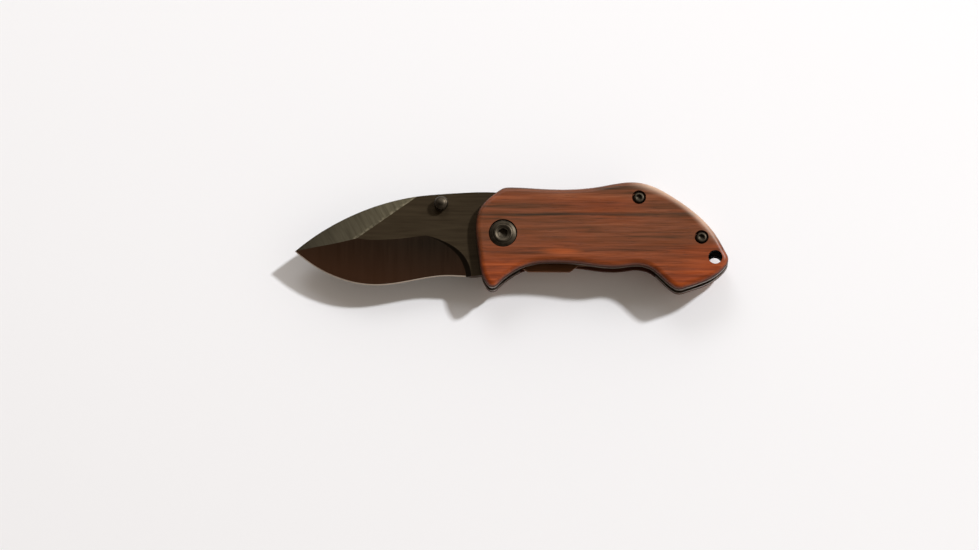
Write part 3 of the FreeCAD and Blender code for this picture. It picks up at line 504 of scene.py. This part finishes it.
def turnedPiece(node, middle, facing, profile, body):
    # profile rows are radius, height and hexagon share, in mm, from the top's middle to the end's middle;
    # at angle a the ring's radius is r (1 - share) + r share / cos(a folded into a sixth)
    profile = easedCorners(np.vstack(profile))
    count, around = len(profile) - 2, turned["around"]
    angle = np.arange(around) * 2 * np.pi / around
    sixth = 1 / np.cos((angle + np.pi / 6) % (np.pi / 3) - np.pi / 6)
    radius, height, share = profile[:, 0:1], profile[:, 1:2], profile[:, 2:3]
    ring = radius * (1 - share + share * sixth)
    rise = facing * height + 0 * ring
    points = np.stack([ring * np.cos(angle), facing * ring * np.sin(angle), rise], axis=-1)
    points = np.concatenate([points[0, :1], points[1:-1].reshape(-1, 3), points[-1, :1]]) * mm + middle
    here = 1 + np.arange(count * around).reshape(count, around)
    beside = np.roll(here, -1, axis=1)
    quads = np.stack([here[:-1], here[1:], beside[1:], beside[:-1]], axis=-1).reshape(-1, 4)
    topFan = np.stack([np.zeros(around, int), here[0], beside[0]], axis=-1)
    endFan = np.stack([np.full(around, count * around + 1), beside[-1], here[-1]], axis=-1)
    name = node + "_turned"
    mesh = bpy.data.meshes.new(name)
    mesh.from_pydata(points.tolist(), [], quads.tolist() + topFan.tolist() + endFan.tolist())
    along = np.concatenate([[0], np.cumsum(np.linalg.norm(np.diff(profile[:, :2], axis=0), axis=1))])
    along = np.concatenate([along[:1], np.repeat(along[1:-1], around), along[-1:]])
    mesh.attributes.new("profileLength", "FLOAT", "POINT").data.foreach_set("value", along)
    mesh.shade_smooth()
    mesh.set_sharp_from_angle(angle=math.radians(turned["crispFrom"]))
    mesh.materials.append(screwBlack)
    piece = bpy.data.objects.new(name, mesh)
    bpy.context.scene.collection.objects.link(piece)
    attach(piece, body)
    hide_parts(node)


# mm; heights run down from the top of the head
bodyScrew = {
    "socket": 0.95, "socketDepth": 0.9, "pointDepth": 0.2,   # the hexagon's half width, its wall and bottom
    "mouth": 1.11, "mouthDepth": 0.14,                       # the chamfer round the hexagon
    "crown": 1.35, "crownFall": 0.02, "rimHeight": 0.5,      # where the dome starts, its rim over the seat
    "headHeight": 1.4, "shank": 1.1,
}
clipScrew = {**bodyScrew, "socketDepth": 0.8, "headHeight": 1.1, "rimHeight": 0.35}


def buttonScrew(node, front, s):
    # a hexagon socket in a domed head, a flat seat and a plain shank
    middle, facing, head, length = headOf(node, front)
    rim = s["rimHeight"] - s["headHeight"]
    turnedPiece(node, middle, facing, [
        [(0, -s["socketDepth"] - s["pointDepth"], 0), (s["socket"], -s["socketDepth"], 1),
         (s["socket"], -s["mouthDepth"], 1), (s["mouth"], 0, 0), (s["crown"], -s["crownFall"], 0)],
        dome(s["crown"], head, -s["crownFall"], rim),
        [(head, rim, 0), (head, -s["headHeight"], 0), (s["shank"], -s["headHeight"], 0),
         (s["shank"], -length, 0), (0, -length, 0)],
    ], "handle")


for place in ("spine", "butt"):
    buttonScrew(place + "_screw_front", True, bodyScrew)
    buttonScrew(place + "_screw_rear", False, bodyScrew)
for place in ("front", "back"):
    buttonScrew("clip_screw_" + place, False, clipScrew)

# mm; heights run down from the crest of the head
pivotScrew = {
    "socket": 1.5, "socketDepth": 1.6, "pointDepth": 0.25,   # the hexagon's half width, its wall and bottom
    "mouth": 1.74, "mouthDepth": 0.16,                       # the chamfer round the hexagon
    "ledge": 2.0, "dish": 2.75, "dishDepth": 0.25,           # the dish's floor and its edge
    "crest": 3.1, "cone": 4.6, "coneFall": 0.75,             # the cone's upper and lower edge
    "groove": 3.55, "grooveWidth": 0.22, "grooveWall": 0.04, "grooveDepth": 0.12,
    "domeFall": 1.2, "headHeight": 3.3, "shank": 1.7,
}


def pivotHead(node, front, s):
    # a hexagon socket in a shallow dish, a wide cone with a fine groove round it, a rounded rim and a shank
    middle, facing, head, length = headOf(node, front)
    floor = -s["dishDepth"]
    slope = s["coneFall"] / (s["cone"] - s["crest"])
    grooveIn, grooveOut = s["groove"], s["groove"] + s["grooveWidth"]
    grooveTop, grooveEnd = -slope * (grooveIn - s["crest"]), -slope * (grooveOut - s["crest"])
    turnedPiece(node, middle, facing, [
        [(0, floor - s["socketDepth"] - s["pointDepth"], 0), (s["socket"], floor - s["socketDepth"], 1),
         (s["socket"], floor - s["mouthDepth"], 1), (s["mouth"], floor, 0), (s["ledge"], floor, 0),
         (s["dish"], 0, 0), (s["crest"], 0, 0), (grooveIn, grooveTop, 0),
         (grooveIn + s["grooveWall"], grooveTop - s["grooveDepth"], 0),
         (grooveOut - s["grooveWall"], grooveTop - s["grooveDepth"], 0),
         (grooveOut, grooveEnd, 0), (s["cone"], -s["coneFall"], 0)],
        dome(s["cone"], head, -s["coneFall"], -s["domeFall"]),
        [(head, -s["domeFall"], 0), (head, -s["headHeight"], 0), (s["shank"], -s["headHeight"], 0),
         (s["shank"], -length, 0), (0, -length, 0)],
    ], "handle")


pivotHead("pivot_screw_front", True, pivotScrew)
pivotHead("pivot_screw_rear", False, pivotScrew)

# mm; the cap's heights run down from its top, the foot's and the waist's run up from the blade
thumbStud = {
    "height": 3.8, "cap": 1.5, "capFall": 0.3, "domeFall": 1.7,
    "waist": 1.95, "waistTop": 1.3, "flare": 0.5,
    "foot": 2.3, "footHeight": 0.6, "footRim": 0.3,
    "shank": 1.2, "shankLeast": 0.5,
}


def studHead(node, front, s):
    # a crowned cap, whose height falls with the square of its radius, over a waist and a foot on the blade
    middle, facing, head, length = headOf(node, front)
    t = np.linspace(0, 1, turned["domeSteps"])
    seat = -s["height"]
    shank = [(s["shank"], seat, 0), (s["shank"], -length, 0), (0, -length, 0)]
    turnedPiece(node, middle, facing, [
        np.stack([s["cap"] * t, -s["capFall"] * t ** 2, 0 * t], axis=1),
        dome(s["cap"], head, -s["capFall"], -s["domeFall"]),
        [(head, -s["domeFall"], 0), (head, seat + s["waistTop"] + s["flare"], 0),
         (s["waist"], seat + s["waistTop"], 0), (s["waist"], seat + s["footHeight"], 0),
         (s["foot"], seat + s["footRim"], 0), (s["foot"], seat, 0)],
        shank if length - s["height"] > s["shankLeast"] else [(0, seat, 0)],   # only one stud has the shank
    ], "folding_blade")


studHead("thumb_stud_front", True, thumbStud)
studHead("thumb_stud_rear", False, thumbStud)
print("screws, pivot heads and studs turned")

# studio, in metres and watts
keyLamp = {"from": (0.6, 0.43, 0.67), "distance": 3.6, "sides": (0.27, 0.27), "watts": 110.0}
backLamp = {"from": (-0.12, 0.7, 0.7), "distance": 1.1, "sides": (0.5, 0.4), "watts": 2.0}
softSky = {
    "litSide": "#F4ECE0", "dimSide": "#74685C",   # low in the sky, towards the key lamp and away from it
    "sideTurn": (-0.5, 0.5),                      # cosine to the key lamp's side, from dim to lit
    "high": "#51483F", "rise": (0.15, 0.95),      # overhead, and the heights that the sky darkens between
    "fill": 1.6,                                  # strength as light; where it is seen or mirrored it has 1
}
backdrop = {"side": 8.0, "colour": "#F1F3F8", "roughness": 0.95}

for name, lamp in (("keyLamp", keyLamp), ("backLamp", backLamp)):
    light = bpy.data.lights.new(name, "AREA")
    light.shape, light.energy = "RECTANGLE", lamp["watts"]
    light.size, light.size_y = lamp["sides"]
    item = bpy.data.objects.new(name, light)
    item.location = Vector(lamp["from"]).normalized() * lamp["distance"]
    item.rotation_euler = Vector(lamp["from"]).to_track_quat("Z", "Y").to_euler()
    bpy.context.scene.collection.objects.link(item)

world = bpy.data.worlds.new("softSky")
world.use_nodes = True
bpy.context.scene.world = world
add = partial(put, world.node_tree)
way = add("TexCoord", {}, out="Generated")
keySide = Vector((*keyLamp["from"][:2], 0)).normalized()
low, high = softSky["sideTurn"]
side = add("VectorMath", {0: way, 1: keySide}, out="Value", operation="DOT_PRODUCT")
side = add("MapRange", {"Value": side, "From Min": low, "From Max": high})
low, high = softSky["rise"]
rise = add("SeparateXYZ", {"Vector": way}, out="Z")
rise = add("MapRange", {"Value": rise, "From Min": low, "From Max": high})
sky = add("ValToRGB", {"Fac": side}, stops=[(0.0, softSky["dimSide"]), (1.0, softSky["litSide"])])
sky = layered(add, sky, [(rise, softSky["high"])])
seen = add("LightPath", {}, out="Is Camera Ray")
for ray in ("Is Glossy Ray", "Is Transmission Ray"):
    seen = add("Math", {0: seen, 1: add("LightPath", {}, out=ray)}, operation="MAXIMUM")
strength = add("MapRange", {"Value": seen, "To Min": softSky["fill"], "To Max": 1.0})
wire(world.node_tree.nodes["Background"], {"Color": sky, "Strength": strength})

half = backdrop["side"] / 2
floorMesh = bpy.data.meshes.new("floor")
corners = [(-half, -half, 0), (half, -half, 0), (half, half, 0), (-half, half, 0)]
floorMesh.from_pydata(corners, [], [(0, 1, 2, 3)])
floor = bpy.data.objects.new("floor", floorMesh)
bpy.context.scene.collection.objects.link(floor)
# backdrop paper, matte: even and without gloss
paper = newMaterial("backdropPaperMatte", Roughness=backdrop["roughness"],
                    Base_Color=linear(backdrop["colour"]))
floorMesh.materials.append(paper[0])
print("studio lit")

# camera
view = {
    "elevation": 76.0,                # degrees above the floor, from the blade's edge side
    "aim": (-7.91, -14.98, 15.7),     # mm, the point at the middle of the picture
    "lens": 300.0, "sensor": 36.0,    # mm
    "width": 352.4,                   # mm, the picture's width at that point: 979 px of 0.36 mm
    "clip": (0.01, 20.0),             # metres, the nearest and furthest that it sees
}
elevation = math.radians(view["elevation"])
toCamera = Vector((0, -math.cos(elevation), math.sin(elevation)))
cameraData = bpy.data.cameras.new("camera")
cameraData.lens, cameraData.sensor_width = view["lens"], view["sensor"]
cameraData.clip_start, cameraData.clip_end = view["clip"]
camera = bpy.data.objects.new("camera", cameraData)
camera.location = (Vector(view["aim"]) + toCamera * view["width"] * view["lens"] / view["sensor"]) * mm
camera.rotation_euler = toCamera.to_track_quat("Z", "Y").to_euler()
bpy.context.scene.collection.objects.link(camera)
bpy.context.scene.camera = camera
bpy.context.scene.view_settings.view_transform = "Standard"

print("camera set")
